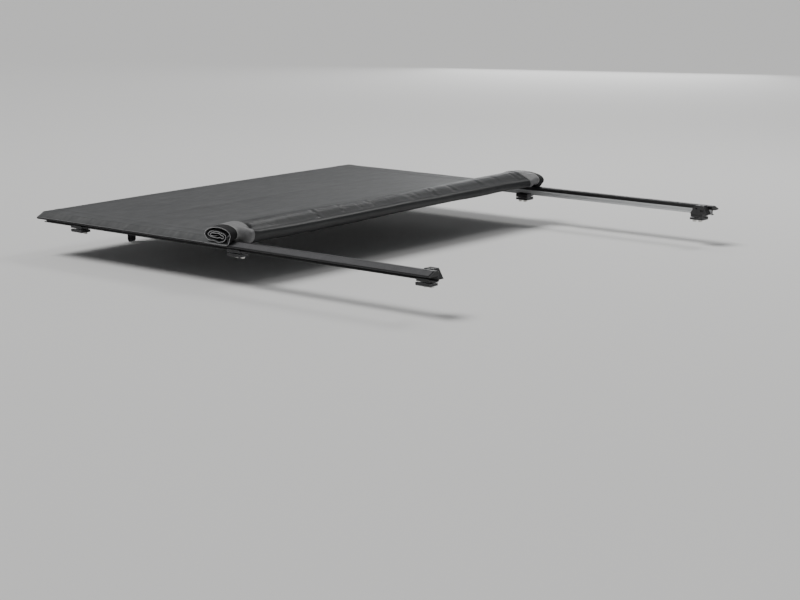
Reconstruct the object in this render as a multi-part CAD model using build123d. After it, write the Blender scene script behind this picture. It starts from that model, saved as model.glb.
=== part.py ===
from build123d import *
import math
import os

# Soft roll-up tonneau cover for a pickup bed, half rolled up.
# Frame: +X vehicle right, +Y towards the cab, +Z up. The origin is in the
# plane the side rails rest on (z = 0, top of the truck's bed walls), midway
# between the rails and midway along them. All sizes in millimetres.
# Paired pieces are modelled on the right (+X) and mirrored to the left.

# ---------------------------------------------------------------- dimensions
RAIL_END = 856.0          # rails with their caps run from -856 to +856
RAIL_CAP = 3.0            # end cap plate thickness
RAIL_CUT = RAIL_END - RAIL_CAP    # end of the rail extrusion itself
CAP_PLUG_L = 12.0         # how far a cap's plug enters the rail
RAIL_X_IN = 800.0         # inner vertical face of a rail
RAIL_X_CREASE = 817.0     # where the flat top meets the outer slope
RAIL_X_OUT = 845.0        # outer lip of a rail
RAIL_TOP = 17.5           # top bead height above the bed wall
RAIL_LIP = 4.0            # height of the outer lip
SEAL_T = 1.5              # foam seal under each rail
LEDGE_Z = (1.0, 3.5)      # bow ledge on the rail's inner face
LEDGE_X = 794.0
LEDGE_Y = (-778.0, 776.0)
GROOVE_Z = (-6.5, -4.0)   # shallow groove along the rail's inner face

SHEET_T = 1.3             # coated fabric thickness
SHEET_D = 2.6             # sheet underside offset from the rail's top surfaces
SHEET_EDGE_S = 31.5       # sheet edge, measured down the rail's slope
SHEET_SPLIT = 60.0        # the flat sheet ends here, the tuck starts
SHEET_FRONT_Y = 854.7
TUCK_REAR = -60.0
TUCK_Z = 2.0              # underside of the tuck between the rails
BAND_D = (1.55, 2.55)     # loop tape and edge band on the sheet's underside
BAND_FRONT_Y = 811.0
LOOP_X_IN = 812.0         # inner edge of the loop tape
BAND_X_IN = 757.0         # inner edge of the reinforcing band beside it

HEADER_X = 797.0
HEADER_Y = (816.0, 853.0)
HEADER_Z = (3.0, 19.8)
HEADER_WALL = 3.0
KEDER_Y, KEDER_Z, KEDER_R = 848.5, 12.5, 2.9
HEADER_SCREWS_X = (752.0, 778.0)
HEADER_SCREWS_Z = 11.0    # bracket and strap screws into the header
BRACKET_SCREWS_Y = (788.0, 804.0)
BRACKET_SCREWS_Z = 9.0
BRACKET_HOLE_R = 2.1

BAR_Y, BAR_Z = -24.0, 37.0    # centre of the rear bar in the roll's core
BAR_W, BAR_H, BAR_WALL = 34.0, 13.0, 1.8
BAR_X = 764.0
PLUNGER_R = 3.0
UNROLL_Y, UNROLL_Z = -782.0, -29.5   # travel of the roll's core to closed

BOW_W, BOW_H, BOW_WALL = 25.0, 8.0, 1.4
BOW_SIDE_WALL = 2.0
BOW_X = 776.0             # end of the aluminium bow
BOW_TIP_X = 796.5         # end of its plastic tip
BOW_Z_MID, BOW_Z_END = 11.0, 5.0     # underside height, middle and ends
BOWS = (("front", 500.0, 0.0), ("middle", 200.0, 0.0), ("rear", -10.0, 43.0))  # name, y, lift

CLAMPS = {"front": 690.0, "mid": -47.0, "rear": -806.0}    # name, centre y
CLAMP_L = 52.0
CLAMP_BOLT_X = 784.0
CLAMP_BOLT_DY = 11.0
CLAMP_BOLT_R = 4.0
BOLT_CLOSE, BOLT_LOOSE = 0.06, 0.3   # radial clearances round a bolt
BOLT_BOTTOM = -41.0
STRIKER_SCREWS = ((789.5, -811.0), (789.5, -824.5))    # x, y
STRIKER_SEAT_Z = 14.9     # floor of the screw head recesses

STRAP_X = 450.0
STRAP_W = 25.0
STRAP_T = 1.4
STRAP_LOOP_R = 7.5        # bend at the bottom of the webbing loop
ANCHOR_DX = (-7.0, 7.0)   # anchor screws either side of a strap's middle
BUCKLE_Y = (808.5, 820.5)
BUCKLE_HALF_W = 16.0


# ------------------------------------------------------------------- helpers
def box(x0, x1, y0, y1, z0, z1):
    block = Box(x1 - x0, y1 - y0, z1 - z0)
    return block.moved(Location(((x0 + x1) / 2, (y0 + y1) / 2, (z0 + z1) / 2)))


def polygon(points):
    return Face(Wire(Polyline(*[Vector(*point) for point in points], close=True).edges()))


def prism_y(outline, y0, y1):
    """Polygon in X, Z run along Y."""
    return extrude(polygon([(x, y0, z) for x, z in outline]), amount=y1 - y0, dir=(0, 1, 0))


def prism_x(outline, x0, x1):
    """Polygon in Y, Z run along X."""
    return extrude(polygon([(x0, y, z) for y, z in outline]), amount=x1 - x0, dir=(1, 0, 0))


def rod(section, start, direction, length):
    plane = Plane(origin=start, z_dir=direction)
    return extrude(plane * section, amount=length, dir=Vector(*direction))


def cyl(start, direction, radius, length):
    return rod(Circle(radius), start, direction, length)


def screw(seat, direction, shank_r, shank_l, head_r, head_h):
    """Pan-head screw: seat is the point under the head, direction points in."""
    seat_point, inward = Vector(*seat), Vector(*direction)
    head = cyl(tuple(seat_point - inward * head_h), direction, head_r, head_h)
    circles = head.edges().filter_by(GeomType.CIRCLE)
    rim = max(circles, key=lambda edge: (edge.center() - seat_point).length)
    head = fillet(rim, head_h * 0.45)
    socket_start = tuple(seat_point - inward * (head_h + 0.1))
    head -= rod(RegularPolygon(head_r * 0.42, 6), socket_start, direction, head_h * 0.6)
    return head + cyl(seat, direction, shank_r, shank_l)


def left_of(shape):
    """The mirror image on the vehicle's left side."""
    return mirror(shape, about=Plane.YZ)


def both_sides(*shapes):
    return [*shapes, *[left_of(shape) for shape in shapes]]


def across(right_half):
    """Close an X, Z outline with the mirror image of its right half."""
    return right_half + [(-x, z) for x, z in reversed(right_half)]


def save(name, *shapes):
    """Write the solids of all the shapes as one file."""
    solids = [solid for shape in shapes for solid in shape.solids()]
    piece = solids[0] if len(solids) == 1 else Compound(children=solids)
    export_step(piece, f"parts/{name}.step")


def save_pair(name, *shapes):
    save("right_" + name, *shapes)
    save("left_" + name, *[left_of(shape) for shape in shapes])


# Slanted outer face of the right rail
SLOPE = math.atan2(RAIL_TOP - RAIL_LIP, RAIL_X_OUT - RAIL_X_CREASE)


def on_slope(down, off):
    """Point a distance down the slope from the crease and off its surface."""
    return (
        RAIL_X_CREASE + down * math.cos(SLOPE) + off * math.sin(SLOPE),
        RAIL_TOP - down * math.sin(SLOPE) + off * math.cos(SLOPE),
    )


def crease(off):
    """Corner between the flat and the slanted surface, offset by off."""
    return (RAIL_X_CREASE + off * math.tan(SLOPE / 2), RAIL_TOP + off)


os.makedirs("parts", exist_ok=True)

# --------------------------------------------------------------- side rails
# Cross-sections of the right rail, x and z
RAIL_OUTLINE = [
    (RAIL_X_IN, -15), (812, -15), (812, -12.5), (803, -12.5), (803, SEAL_T),
    (RAIL_X_OUT, SEAL_T), (RAIL_X_OUT, RAIL_LIP), (RAIL_X_CREASE, RAIL_TOP),
    (806, RAIL_TOP), (804.5, 14.8), (RAIL_X_IN, 14.8),
]
RAIL_HOLLOW = [(806.5, 4), (838, 4), (816.2, 14.7), (807.8, 14.7), (806.5, 12.5)]
CAP_PLUG = [(806.8, 4.3), (836.6, 4.3), (816.0, 14.4), (808.0, 14.4), (806.8, 12.4)]


def side_rail():
    rail = prism_y(RAIL_OUTLINE, -RAIL_CUT, RAIL_CUT)
    rail -= prism_y(RAIL_HOLLOW, -RAIL_CUT - 1, RAIL_CUT + 1)
    rail += box(LEDGE_X, RAIL_X_IN + 0.5, *LEDGE_Y, *LEDGE_Z)
    rail -= box(RAIL_X_IN - 0.5, RAIL_X_IN + 0.6, -RAIL_CUT - 1, RAIL_CUT + 1, *GROOVE_Z)
    for y in BRACKET_SCREWS_Y:
        rail -= cyl((RAIL_X_IN - 1, y, BRACKET_SCREWS_Z), (1, 0, 0), BRACKET_HOLE_R, 9)
    return rail


def rail_end_caps():
    rear = prism_y(RAIL_OUTLINE, -RAIL_END, -RAIL_CUT)
    rear += prism_y(CAP_PLUG, -RAIL_CUT, -RAIL_CUT + CAP_PLUG_L)
    front = prism_y(RAIL_OUTLINE, RAIL_CUT, RAIL_END)
    front += prism_y(CAP_PLUG, RAIL_CUT - CAP_PLUG_L, RAIL_CUT)
    return rear, front


def hook_strip():
    """Thin strip on the rail's slanted face."""
    corners = ((3, 0.05), (28, 0.05), (28, 1.25), (3, 1.25))
    return prism_y([on_slope(*corner) for corner in corners], -850, 850)


save_pair("side_rail", side_rail())
save_pair("rail_end_caps", *rail_end_caps())
save_pair("hook_strip", hook_strip())
save_pair("rail_seal", box(817, 843, -RAIL_END + 1, RAIL_END - 1, 0, SEAL_T))


# ------------------------------------------------------------- front header
def front_header():
    """Hollow bar across the bed, with a keder slot open at its front face."""
    rear, front = HEADER_Y
    bottom, top = HEADER_Z
    ends = (-HEADER_X - 1, HEADER_X + 1)
    header = box(-HEADER_X, HEADER_X, rear, front, bottom, top)
    header = fillet(header.edges().filter_by(Axis.X), 1.5)
    header -= box(*ends, rear + HEADER_WALL, 842, bottom + HEADER_WALL, top - HEADER_WALL)
    header -= cyl((ends[0], KEDER_Y, KEDER_Z), (1, 0, 0), 3.2, 2 * HEADER_X + 2)
    header -= box(*ends, KEDER_Y, front + 1, KEDER_Z - 0.95, KEDER_Z + 0.95)
    for side in (-1, 1):
        holes = [(side * x, BRACKET_HOLE_R) for x in HEADER_SCREWS_X]
        holes += [(side * STRAP_X + dx, 1.6) for dx in ANCHOR_DX]
        for x, radius in holes:
            header -= cyl((x, rear - 1, HEADER_SCREWS_Z), (0, 1, 0), radius, 5)
    return header


def header_bracket():
    """Angle between the header's rear face and the rail's inner face."""
    bracket = box(740, 799.9, 812.9, 815.95, 4, 17.5) + box(796.9, 799.9, 778, 815.95, 3.6, 14.5)
    for x in HEADER_SCREWS_X:
        bracket -= cyl((x, 811, HEADER_SCREWS_Z), (0, 1, 0), BRACKET_HOLE_R, 7)
    for y in BRACKET_SCREWS_Y:
        bracket -= cyl((795, y, BRACKET_SCREWS_Z), (1, 0, 0), BRACKET_HOLE_R, 7)
    return bracket


def header_bracket_screws():
    into_header = [
        screw((x, 812.85, HEADER_SCREWS_Z), (0, 1, 0), shank_r=2.0, shank_l=8, head_r=4.0, head_h=2.4)
        for x in HEADER_SCREWS_X
    ]
    into_rail = [
        screw((796.85, y, BRACKET_SCREWS_Z), (1, 0, 0), shank_r=2.0, shank_l=9, head_r=3.6, head_h=2.2)
        for y in BRACKET_SCREWS_Y
    ]
    return into_header + into_rail


# D-shaped rubber strip that sits on the truck's bulkhead, y and z
BULKHEAD_SEAL = [(822, 3), (849, 3), (849, 1.6), (845, 0), (826, 0), (822, 1.6)]

save("front_header", front_header())
save("bulkhead_seal", prism_x(BULKHEAD_SEAL, -795, 795))
save("front_keder_bead", cyl((-796, KEDER_Y, KEDER_Z), (1, 0, 0), KEDER_R, 2 * 796))
save_pair("header_bracket", header_bracket())
save("header_bracket_screws", *both_sides(*header_bracket_screws()))

# --------------------------------------------------------- sheet, flat part
sheet_under, sheet_over = crease(SHEET_D), crease(SHEET_D + SHEET_T)
edge_under = on_slope(SHEET_EDGE_S, SHEET_D)
edge_over = on_slope(SHEET_EDGE_S, SHEET_D + SHEET_T)
band_under, band_over = crease(BAND_D[0]), crease(BAND_D[1])


def cover_sheet_front():
    """Flat sheet that turns down over the header and back to the keder."""
    section = across([sheet_under, edge_under, edge_over, sheet_over])
    sheet = prism_y(section, SHEET_SPLIT, SHEET_FRONT_Y)
    hem_z = KEDER_Z - SHEET_T / 2
    sheet += box(-796, 796, SHEET_FRONT_Y - SHEET_T, SHEET_FRONT_Y, hem_z, 21)
    sheet += box(-796, 796, 851.45, SHEET_FRONT_Y, hem_z, hem_z + SHEET_T)
    return sheet


def loop_band():
    """Loop tape along the margin, over the slanted hook strip."""
    section = [
        (LOOP_X_IN, band_under[1]), band_under, on_slope(27, BAND_D[0]),
        on_slope(27, BAND_D[1]), band_over, (LOOP_X_IN, band_over[1]),
    ]
    return prism_y(section, SHEET_SPLIT, BAND_FRONT_Y)


def edge_band():
    """Reinforcing band beside the tape, where the sheet leaves the rail."""
    return box(
        BAND_X_IN, LOOP_X_IN - 1, SHEET_SPLIT, BAND_FRONT_Y, band_under[1], band_over[1]
    )


def cover_sheet_tuck():
    """Strip under the roll: sags between the rails and drapes over them."""
    under = [(768, TUCK_Z), (796, sheet_under[1]), sheet_under, edge_under]
    over = [edge_over, sheet_over, (795.2, sheet_over[1]), (767.2, TUCK_Z + SHEET_T)]
    return prism_y(across(under + over), TUCK_REAR, SHEET_SPLIT - 0.4)


save("cover_sheet_front", cover_sheet_front())
save_pair("loop_band", loop_band())
save_pair("edge_band", edge_band())
save("cover_sheet_tuck", cover_sheet_tuck())

# ------------------------------------------------------------- rolled cover
# Centre line of the coil, y and z, from the strip under the roll, up round
# the rear, over the top and inwards to the rear bar
COIL = [
    (-60.4, 2.65), (-76, 8), (-85.6, 21), (-87.5, 36), (-80, 52), (-60, 64.5),
    (-33, 70.3), (-8, 70.6), (18, 65.5), (36, 55.5), (45.5, 43), (46.5, 32),
    (39, 25.6), (22, 23.9), (-5, 23.6), (-30, 23.6), (-48, 24.8), (-57, 30),
    (-59.5, 39), (-54, 50), (-40, 59.5), (-20, 63.3), (0, 63.3), (18, 59.5),
    (30, 52.5), (36, 43), (33.5, 34), (25, 29.6), (10, 28.5), (-15, 28.4),
    (-34, 28.5), (-44.5, 31), (-48.3, 37), (-44.5, 43), (-34, 45), (-10, 45.2),
    (8, 44.6), (19, 41.8), (22.5, 37.6), (18.5, 34.4), (8, 34.6), (-2, 36.7), (-6.6, 37),
]
COIL_STEPS = 150          # samples along the centre line
# Space kept clear round the right rail, x and z
RAIL_CLEARANCE = [
    (765.2, -30), (765.2, 4.4), (793.6, 22.1), (818.1, 22.1), (849, 8.2), (849, -30),
]


def cover_roll():
    centre = Spline(*[Vector(0, y, z) for y, z in COIL])
    outer_points, inner_points = [], []
    for i in range(COIL_STEPS + 1):
        point, tangent = centre @ (i / COIL_STEPS), centre % (i / COIL_STEPS)
        offset = Vector(0, -tangent.Z, tangent.Y).normalized() * SHEET_T / 2
        for points, surface in ((outer_points, point + offset), (inner_points, point - offset)):
            points.append(Vector(-RAIL_X_OUT, surface.Y, surface.Z))
    outer, inner = Spline(*outer_points), Spline(*inner_points)
    ends = Line(outer @ 1, inner @ 1), Line(inner @ 0, outer @ 0)
    section = Face(Wire([outer, ends[0], inner, ends[1]]))
    coil = extrude(section, amount=2 * RAIL_X_OUT, dir=(1, 0, 0))
    for clearance in both_sides(prism_y(RAIL_CLEARANCE, -120, 80)):
        coil -= clearance
    # the cuts can leave slivers beside the main body
    return max(coil.solids(), key=lambda solid: solid.volume)


save("cover_roll", cover_roll())

# ------------------------------------------------------ rear bar and latches
BAR_INNER_W, BAR_INNER_H = BAR_W - 2 * BAR_WALL, BAR_H - 2 * BAR_WALL
# Strip on the bar's rear face, y and z
BAR_SEAL = [(-41, 32.6), (-41, 41.4), (-42.6, 41.4), (-44.0, 39.4), (-44.0, 34.6), (-42.6, 32.6)]


def bar_box(x0, x1, width, height):
    """Box centred on the rear bar's axis."""
    y0, z0 = BAR_Y - width / 2, BAR_Z - height / 2
    return box(x0, x1, y0, y0 + width, z0, z0 + height)


def pull_slot():
    """Slot in the bar's underside for the finger pull."""
    return box(722.6, 747.4, BAR_Y - 4.2, BAR_Y + 4.2, BAR_Z - BAR_H / 2 - 1, BAR_Z - 2.5)


def rear_bar():
    bar = bar_box(-BAR_X, BAR_X, BAR_W, BAR_H)
    bar = fillet(bar.edges().filter_by(Axis.X), 3.0)
    bar -= bar_box(-BAR_X - 1, BAR_X + 1, BAR_INNER_W, BAR_INNER_H)
    for slot in both_sides(pull_slot()):
        bar -= slot
    return bar


def latch_housing():
    """Plug in the bar's end, with a flange over the end face."""
    housing = bar_box(704, BAR_X + 0.2, BAR_INNER_W - 0.2, BAR_INNER_H - 0.2)
    flange = bar_box(BAR_X + 0.05, BAR_X + 3, BAR_W - 0.6, BAR_H - 0.6)
    housing += fillet(flange.edges().filter_by(Axis.X), 2.6)
    housing -= cyl((706, BAR_Y, BAR_Z), (1, 0, 0), PLUNGER_R + 0.06, 70)
    return housing - pull_slot()


def latch_plunger():
    plunger = cyl((726, BAR_Y, BAR_Z), (1, 0, 0), PLUNGER_R, 53)
    return chamfer(plunger.edges().filter_by(GeomType.CIRCLE).sort_by(Axis.X)[-1], 1.4)


def latch_finger_pull():
    """Block round the plunger with three grip grooves underneath."""
    pull = box(733, 747, BAR_Y - 4.0, BAR_Y + 4.0, 30.1, 34.0)
    for x in (736, 739, 742):
        pull -= box(x, x + 1.4, BAR_Y - 5, BAR_Y + 5, 30.0, 30.9)
    return pull - cyl((730, BAR_Y, BAR_Z), (1, 0, 0), PLUNGER_R, 20)


def latch_spring():
    path = Helix(
        pitch=3.0, height=18.6, radius=2.2, center=(706.7, BAR_Y, BAR_Z), direction=(1, 0, 0)
    )
    wire_section = Plane(origin=path @ 0, z_dir=path % 0) * Circle(0.35)
    return sweep(wire_section, path=path, is_frenet=True)


save("rear_bar", rear_bar())
save("rear_bar_seal", prism_x(BAR_SEAL, -758, 758))
save_pair("latch_housing", latch_housing())
save_pair("latch_plunger", latch_plunger())
save_pair("latch_finger_pull", latch_finger_pull())
save_pair("latch_spring", latch_spring())

# ------------------------------------------- clamps and rear latch strikers
# Sections of the right-hand pieces, x and z
CLAMP_BODY = [(774, -24), (799.9, -24), (799.9, -9.5), (778, -9.5), (774, -13)]
# foot under the rail's web and the upstand behind its lip
CLAMP_NOSE = [
    (799.5, -20), (815, -20), (815, -11), (812.3, -11), (812.3, -15.1), (799.5, -15.1),
]
CLAMP_JAW = [
    (774, -34), (812, -34), (815, -31), (815, -23.5), (813, -24.6), (811, -23.5),
    (809, -24.6), (807, -23.5), (805, -24.6), (804, -26.5), (774, -26.5),
]
STRIKER_BASE = [(774, -24), (799.9, -24), (799.9, -11.5), (774, -11.5)]
# Striker casting seen from the side, y and z
STRIKER_SIDE = [(-851, -12), (-833, 18.5), (-801, 18.5), (-782, -12)]


def bolt_rods(clamp_y, clearance, bottom, length):
    """The two bolt cylinders of a clamp, enlarged by a clearance."""
    return [
        cyl((CLAMP_BOLT_X, clamp_y + dy, bottom), (0, 0, 1), CLAMP_BOLT_R + clearance, length)
        for dy in (-CLAMP_BOLT_DY, CLAMP_BOLT_DY)
    ]


def clamp_upper(clamp_y):
    span = (clamp_y - CLAMP_L / 2, clamp_y + CLAMP_L / 2)
    block = prism_y(CLAMP_BODY, *span) + prism_y(CLAMP_NOSE, *span)
    for hole in bolt_rods(clamp_y, BOLT_CLOSE, -30, 24):
        block -= hole
    return block


def clamp_jaw(clamp_y):
    jaw = prism_y(CLAMP_JAW, clamp_y - CLAMP_L / 2, clamp_y + CLAMP_L / 2)
    for hole in bolt_rods(clamp_y, BOLT_LOOSE, -40, 24):
        jaw -= hole
    return jaw


def clamp_bolts(clamp_y):
    """Two hexagon bolts pointing up, each with a washer."""
    shanks = bolt_rods(clamp_y, 0, BOLT_BOTTOM, 30.0)
    washer_holes = bolt_rods(clamp_y, BOLT_LOOSE, -36, 3)
    pieces = []
    for dy, shank, hole in zip((-CLAMP_BOLT_DY, CLAMP_BOLT_DY), shanks, washer_holes):
        x, y = CLAMP_BOLT_X, clamp_y + dy
        # 13 mm across flats
        bolt = rod(RegularPolygon(13 / math.sqrt(3), 6), (x, y, BOLT_BOTTOM), (0, 0, 1), 5.3)
        bolt += shank
        bolt = chamfer(bolt.edges().filter_by(GeomType.CIRCLE).sort_by(Axis.Z)[-1], 0.8)
        pieces += [bolt, cyl((x, y, -35.6), (0, 0, 1), 8.0, 1.5) - hole]
    return pieces


def latch_striker():
    """Trapezoid casting the rear bar's plunger snaps into."""
    clamp_y = CLAMPS["rear"]
    span = (clamp_y - CLAMP_L / 2, clamp_y + CLAMP_L / 2 - 3)
    striker = prism_x(STRIKER_SIDE, 771, 799.9)
    striker = fillet(striker.edges().filter_by(Axis.X).sort_by(Axis.Z)[-2:], 2.5)
    striker += prism_y(STRIKER_BASE, *span)
    striker += prism_y(CLAMP_NOSE, *span)
    for hole in bolt_rods(clamp_y, BOLT_CLOSE, -30, 21.5):
        striker -= hole
    plunger_seat = (770, BAR_Y + UNROLL_Y, BAR_Z + UNROLL_Z)
    striker -= cyl(plunger_seat, (1, 0, 0), PLUNGER_R + 0.6, 12.5)
    for x, y in STRIKER_SCREWS:
        striker -= cyl((x, y, STRIKER_SEAT_Z), (0, 0, 1), 5.0, 5)
        striker -= cyl((x, y, -5), (0, 0, 1), 2.6, 21)
    # relief pocket in the casting's inboard face
    return striker - box(770, 774.5, -838, -822, -4, 6)


striker_screws = [
    screw((x, y, STRIKER_SEAT_Z + 0.05), (0, 0, -1), shank_r=2.5, shank_l=19, head_r=4.6, head_h=3.0)
    for x, y in STRIKER_SCREWS
]

save("clamp_upper_blocks", *both_sides(*[clamp_upper(CLAMPS[place]) for place in ("front", "mid")]))
for place, clamp_y in CLAMPS.items():
    save_pair(f"{place}_clamp_jaw", clamp_jaw(clamp_y))
    save_pair(f"{place}_clamp_bolts", *clamp_bolts(clamp_y))
save_pair("latch_striker", latch_striker())
save("striker_screws", *both_sides(*striker_screws))


# --------------------------------------------------------------------- bows
def bow_strip(inset, side_inset):
    """Arched bar across the bed, inset from the bow's outer surfaces."""
    height, width = BOW_H - 2 * inset, BOW_W - 2 * side_inset

    def arc(rise):
        z_end, z_mid = BOW_Z_END + rise, BOW_Z_MID + rise
        return ThreePointArc((-BOW_X, 0, z_end), (0, 0, z_mid), (BOW_X, 0, z_end))

    low, high = arc(inset), arc(inset + height)
    section = Face(Wire([low, Line(low @ 1, high @ 1), high, Line(high @ 0, low @ 0)]))
    return extrude(section, amount=width, dir=(0, 1, 0)).moved(Location((0, -width / 2, 0)))


def bow():
    strip = bow_strip(0, 0)
    strip = fillet([edge for edge in strip.edges() if edge.length > 1000], 2.6)
    return strip - bow_strip(BOW_WALL, BOW_SIDE_WALL)


def bow_tip():
    """Plastic end with a shoe that rests on the rail's ledge."""
    heel_x = BOW_X + 0.1
    outline = [
        (heel_x, 4.9), (779, 3.7), (BOW_TIP_X, 3.7), (BOW_TIP_X, 9.5), (793, 13.1), (heel_x, 13.1),
    ]
    shoe = prism_y(outline, -BOW_W / 2 + 0.2, BOW_W / 2 - 0.2)
    plug_half_w = BOW_W / 2 - BOW_SIDE_WALL - 0.4
    plug = box(752, BOW_X + 0.2, -plug_half_w, plug_half_w, 7.3, 11.0)
    # tilt the plug to the slope of the arch at its end
    slope = math.degrees(math.atan(2 * (BOW_Z_MID - BOW_Z_END) / BOW_X))
    return shoe + plug.rotate(Axis((BOW_X, 0, BOW_Z_END + BOW_H / 2), (0, 1, 0)), slope)


flat_bow, flat_tip = bow(), bow_tip()
for place, y, lift in BOWS:
    position = Location((0, y, lift))
    save(f"bow_{place}", flat_bow.moved(position))
    save(f"bow_{place}_tips", *both_sides(flat_tip.moved(position)))

# ------------------------------------------------------------ storage straps
# A webbing loop hangs behind the header on each side, closed by a
# side-release buckle. Webbing centre lines, y and z:
UPPER_PATH = [(815.2, 15.5), (815.2, -6), (814.6, -12), (814.6, -33)]
LOOP_BEND = [math.radians(180 + 180 * i / 8) for i in range(1, 9)]
LOWER_PATH = [
    (813.7, 15.5), (813.7, 4), (812.6, -4), (806, -9), (801, -16), (799.5, -26), (799.5, -118),
    *[(807.0 + STRAP_LOOP_R * math.cos(a), -118 + STRAP_LOOP_R * math.sin(a)) for a in LOOP_BEND],
    (814.5, -110), (814.5, -99.0),
]


def strap_box(middle, half_width, y0, y1, z0, z1):
    """Box whose middle in X is measured from the strap's middle."""
    x = STRAP_X + middle
    return box(x - half_width, x + half_width, y0, y1, z0, z1)


def anchor_drilled(shape):
    for dx in ANCHOR_DX:
        shape -= cyl((STRAP_X + dx, 800, HEADER_SCREWS_Z), (0, 1, 0), 1.7, 20)
    return shape


def webbing(path):
    points = [Vector(0, y, z) for y, z in path]
    left, right = [], []
    for i, point in enumerate(points):
        tangent = Vector(0, 0, 0)
        if i > 0:
            tangent += (point - points[i - 1]).normalized()
        if i < len(points) - 1:
            tangent += (points[i + 1] - point).normalized()
        offset = Vector(0, -tangent.Z, tangent.Y).normalized() * (STRAP_T / 2)
        left.append(((point + offset).Y, (point + offset).Z))
        right.append(((point - offset).Y, (point - offset).Z))
    strap = prism_x(left + right[::-1], STRAP_X - STRAP_W / 2, STRAP_X + STRAP_W / 2)
    return anchor_drilled(strap)


def buckle_socket():
    """Upper half, hung on the upper webbing, with a window in each side."""
    socket = strap_box(0, BUCKLE_HALF_W, *BUCKLE_Y, -74, -34)
    socket = fillet(socket.edges().filter_by(Axis.Y), 4.0)
    socket -= strap_box(0, 12.5, 811.0, 818.0, -75, -46)
    for side in (-1, 1):
        socket -= strap_box(side * 14.5, 2.5, 811.0, 818.0, -66, -50)
    return socket - strap_box(0, 13.2, 813.2, 816.0, -40, -33)


def buckle_prong():
    """Lower half, entering from below and carrying the lower webbing."""
    prong = strap_box(0, BUCKLE_HALF_W, *BUCKLE_Y, -99, -75)
    prong = fillet(prong.edges().filter_by(Axis.Y), 4.0)
    prong += strap_box(0, 2.5, 812.0, 817.0, -75.5, -48)
    for side in (-1, 1):
        prong += strap_box(side * 9.5, 1.6, 812.0, 817.0, -75.5, -56)
        prong += strap_box(side * 11.0, 1.3, 812.0, 817.0, -64, -53)
    return prong - strap_box(0, 13.2, 813.0, 816.0, -100, -92)


anchor_plate = anchor_drilled(strap_box(0, STRAP_W / 2 + 1.5, 811.4, 812.9, 6, 16))
anchor_screws = [
    screw((STRAP_X + dx, 811.35, HEADER_SCREWS_Z), (0, 1, 0), shank_r=1.5, shank_l=9, head_r=3.2, head_h=2.0)
    for dx in ANCHOR_DX
]

save("storage_straps", *both_sides(webbing(UPPER_PATH), webbing(LOWER_PATH)))
save("strap_anchor_plates", *both_sides(anchor_plate))
save("strap_anchor_screws", *both_sides(*anchor_screws))
save("buckle_sockets", *both_sides(buckle_socket()))
save_pair("buckle_prong", buckle_prong())
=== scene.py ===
"""Roll-up fabric cover on two side rails, drawn closed, with its spare length coiled at the rear.

X runs across (left is -X, right is +X), +Y points to the front header and +Z up. The CAD pieces
get materials, and the fabric, straps and latch springs are modelled anew.
"""
import bmesh
import bpy
import math
import numpy as np
import re
from mathutils import Matrix, Vector

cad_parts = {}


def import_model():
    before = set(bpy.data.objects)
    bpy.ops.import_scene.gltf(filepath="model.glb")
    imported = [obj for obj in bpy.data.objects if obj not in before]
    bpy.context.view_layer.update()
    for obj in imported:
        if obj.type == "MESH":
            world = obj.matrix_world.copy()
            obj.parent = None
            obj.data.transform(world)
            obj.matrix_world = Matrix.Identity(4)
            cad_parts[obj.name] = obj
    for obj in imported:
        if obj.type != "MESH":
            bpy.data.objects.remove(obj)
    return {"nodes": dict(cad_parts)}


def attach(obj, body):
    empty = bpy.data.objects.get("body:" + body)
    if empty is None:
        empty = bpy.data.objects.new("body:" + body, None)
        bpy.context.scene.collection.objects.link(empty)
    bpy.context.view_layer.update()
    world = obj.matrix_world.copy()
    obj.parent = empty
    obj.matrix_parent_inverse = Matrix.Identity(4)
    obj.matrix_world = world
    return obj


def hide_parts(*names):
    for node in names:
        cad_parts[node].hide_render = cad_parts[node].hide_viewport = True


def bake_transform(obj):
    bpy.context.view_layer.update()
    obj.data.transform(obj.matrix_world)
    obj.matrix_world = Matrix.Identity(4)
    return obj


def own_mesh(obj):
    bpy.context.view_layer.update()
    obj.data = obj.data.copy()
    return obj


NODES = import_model()["nodes"]
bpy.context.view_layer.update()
MM = 0.001
SIDES = (("left", -1), ("right", 1))


# ---------------------------------------------------------------- node helpers
def rgba(value):
    """Colour with alpha 1 from an RGB tuple or a grey level."""
    return (*value, 1.0) if isinstance(value, tuple) else (value, value, value, 1.0)


class Nodes:
    """A node tree that is built node by node."""

    def __init__(self, tree):
        self.tree = tree

    def feed(self, socket, value):
        """Link an output to a socket, or set the socket's value."""
        if isinstance(value, bpy.types.NodeSocket):
            self.tree.links.new(value, socket)
        else:
            socket.default_value = rgba(value) if socket.type == "RGBA" else value

    def add(self, kind, inputs, **settings):
        node = self.tree.nodes.new("ShaderNode" + kind)
        for key, value in settings.items():
            setattr(node, key, value)
        for key, value in inputs.items():
            self.feed(node.inputs[key], value)
        return node

    def ramp(self, x, *stops):
        """Colour ramp; each stop is (position, grey level or RGB)."""
        node = self.add("ValToRGB", {"Fac": x})
        elements = node.color_ramp.elements
        while len(elements) < len(stops):
            elements.new(0.5)
        for i, (position, value) in enumerate(stops):
            elements[i].position = position
            elements[i].color = rgba(value)
        return node.outputs["Color"]


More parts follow.
